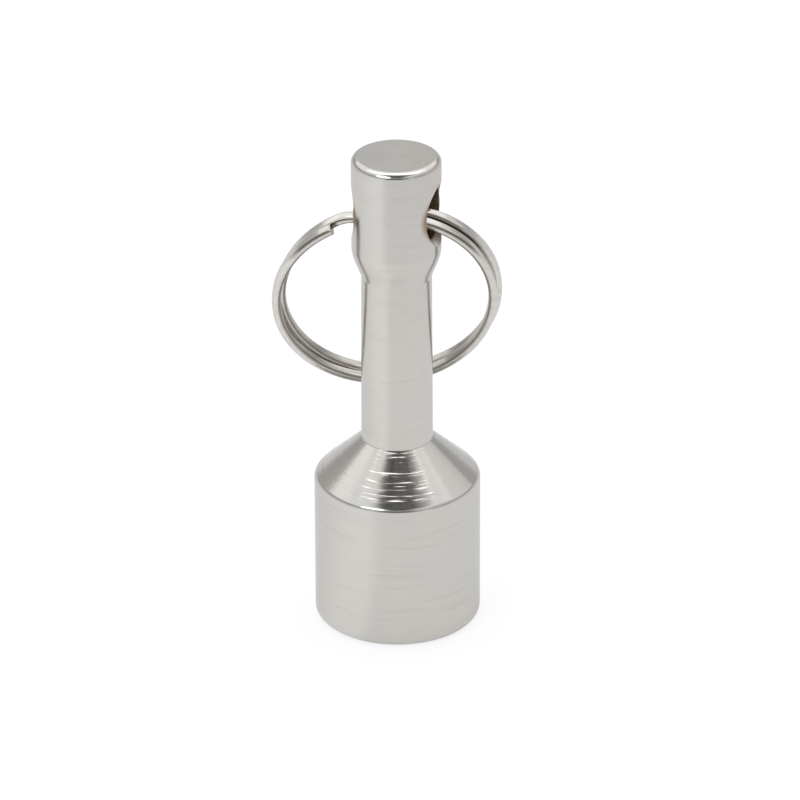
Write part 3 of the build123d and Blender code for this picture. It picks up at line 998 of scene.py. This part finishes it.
def cove(studio):
    """The wall behind, from the left round to the right, as the cone's flanks see it: palest at the floor."""
    shades = Shades("cove")
    z = shades.parts(shades.place())[2]
    dim_band = z.rise(80.0, 380.0) * (1 - z.rise(560.0, 1100.0))
    level = 0.72 - 0.16 * dim_band + 0.2 * (1 - z.rise(0.0, 260.0))
    shell = plate(studio, "cove", (0, 0, 0), (1, 1), (0, 0, 1), lit(shades, level))
    turn = np.linspace(math.radians(75), math.radians(285), COVE_STEPS) + studio.azimuth
    foot = np.stack([np.sin(turn), -np.cos(turn), 0 * turn], -1) * COVE_RADIUS
    wall = np.concatenate([foot, foot + (0, 0, COVE_HEIGHT)])
    shell.data.clear_geometry()
    shell.data.from_pydata(wall.tolist(), [], grid_faces(2, COVE_STEPS, False).tolist())
    shell.visible_camera = shell.visible_diffuse = shell.visible_shadow = False
    return shell


def glow(shades, colour):
    """A shader that glows with this colour."""
    return shades.node("ShaderNodeEmission", {}, {"Color": colour, "Strength": 1.0})


def lit(shades, level):
    """A material that glows grey at this level."""
    surface = glow(shades, shades.joined(level, level, level))
    shades.node("ShaderNodeOutputMaterial", {}, {"Surface": surface})
    return shades.material


def glowing(studio, name, place, size, normal, shades, level):
    """A glowing plate that shows only in reflections."""
    made = plate(studio, name, place, size, normal, lit(shades, level))
    made.visible_camera = made.visible_diffuse = made.visible_shadow = False
    return made


def paper(studio):
    """The white floor. The camera sees it nearly white, and the metal sees a brighter sector to the left.

    The sector is a fade over the angle round the object from the camera's side. Beyond about 95 mm the
    floor to the sector's right is greyer.
    """
    shades = Shades("floor_paper")
    place = shades.place()
    grain = shades.noise(place, 0.9, 2.0, 0.5)
    x, y, _ = shades.parts(place)
    ahead, right = toward(studio, 0, 0), toward(studio, 90, 0)
    sideways, forward = x * right.x + y * right.y, x * ahead.x + y * ahead.y
    heading = sideways.math("ARCTAN2", sideways, forward)
    reach = (sideways * sideways + forward * forward) ** 0.5
    sector = heading.rise(math.radians(-115), math.radians(-50))
    sector = sector * (1 - heading.rise(math.radians(-38), math.radians(-20)))
    grey = reach.rise(92.0, 102.0) * heading.rise(math.radians(-42), math.radians(-32))
    level = (0.86 + 0.16 * sector) * (1 - 0.13 * grey)
    colour = shades.blend(grain, tuple(studio.floor_colour), scaled(studio.floor_colour, 0.985))
    matt = shades.node("ShaderNodeBsdfDiffuse", {}, {"Color": colour})
    even, white = glow(shades, shades.joined(level, level, level)), glow(shades, (1, 1, 1, 1))
    glossy = shades.node("ShaderNodeLightPath", output="Is Glossy Ray") * studio.paper_glow
    camera = shades.node("ShaderNodeLightPath", output="Is Camera Ray") * studio.paper_white
    surface = shades.node("ShaderNodeMixShader", {}, {0: glossy, 1: matt, 2: even})
    surface = shades.node("ShaderNodeMixShader", {}, {0: camera, 1: surface, 2: white})
    shades.node("ShaderNodeOutputMaterial", {}, {"Surface": surface})
    return plate(studio, "floor_paper", (0, 0.6, 0), (3.2, 3.2), (0, 0, 1), shades.material)


def softbox(studio, name, place, size, normal, power):
    """A rectangular lamp that isn't seen itself; the normal points from the object to the lamp."""
    lamp = bpy.data.lights.new(name, "AREA")
    lamp.shape, lamp.size, lamp.size_y, lamp.energy = "RECTANGLE", size[0], size[1], power
    made = bpy.data.objects.new(name, lamp)
    made.matrix_world = facing_matrix(studio, Vector(place), Vector(normal))
    made.visible_camera = False
    bpy.context.scene.collection.objects.link(made)
    return made


def room(scene, studio):
    """An even pale world."""
    world = bpy.data.worlds.new("pale_room")
    scene.world = world
    world.use_nodes = True
    background = world.node_tree.nodes["Background"]
    background.inputs["Color"].default_value = (*studio.room_colour, 1.0)
    background.inputs["Strength"].default_value = studio.room_strength


def set_camera(scene, studio):
    """The camera at its distance and angle, aimed a little to the side of the object's middle."""
    focus = Vector((0, 0, studio.focus_height))
    away = toward(studio, 0, math.degrees(studio.elevation))
    placing = facing_matrix(studio, focus + away * studio.distance, away)
    right, up = placing.col[0].to_3d(), placing.col[1].to_3d()
    aim = focus + right * studio.aim_right - up * studio.aim_down
    place = focus + away * studio.distance
    lens = bpy.data.cameras.new("camera")
    lens.sensor_width, lens.lens = 36.0, studio.lens
    lens.clip_start, lens.clip_end = 0.01, 20.0
    camera = bpy.data.objects.new("camera", lens)
    camera.matrix_world = facing_matrix(studio, place, place - aim) @ Matrix.Rotation(studio.roll, 4, "Z")
    scene.collection.objects.link(camera)
    scene.camera = camera


# ---------------------------------------------------------------- panel and registration

class MAGNET_PT_panel(bpy.types.Panel):
    """Lists the operators"""

    bl_idname = "MAGNET_PT_panel"
    bl_label = "Pocket Magnet"
    bl_space_type = "VIEW_3D"
    bl_region_type = "UI"
    bl_category = "Pocket Magnet"

    def draw(self, context):
        column = self.layout.column()
        for operator in OPERATORS:
            column.operator(operator.bl_idname)


GROUPS = {
    "magnet_cup_sizes": CupSizes,
    "magnet_stem_sizes": StemSizes,
    "magnet_ring_sizes": RingSizes,
    "magnet_disc_sizes": MagnetSizes,
    "magnet_finishes": Finishes,
    "magnet_studio": StudioSettings,
}
OPERATORS = (MAGNET_OT_cup, MAGNET_OT_stem, MAGNET_OT_ring, MAGNET_OT_magnet, MAGNET_OT_stage)


def register():
    for name, group in GROUPS.items():
        bpy.utils.register_class(group)
        setattr(bpy.types.Scene, name, bpy.props.PointerProperty(type=group))
    for operator in OPERATORS:
        bpy.utils.register_class(operator)
    bpy.utils.register_class(MAGNET_PT_panel)


def unregister():
    bpy.utils.unregister_class(MAGNET_PT_panel)
    for operator in reversed(OPERATORS):
        bpy.utils.unregister_class(operator)
    for name, group in reversed(GROUPS.items()):
        delattr(bpy.types.Scene, name)
        bpy.utils.unregister_class(group)


def main():
    """Registers the classes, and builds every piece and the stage."""
    register()
    bpy.ops.magnet.cup()
    bpy.ops.magnet.stem()
    bpy.ops.magnet.ring()
    bpy.ops.magnet.magnet()
    bpy.ops.magnet.stage()


if __name__ == "__main__":
    main()
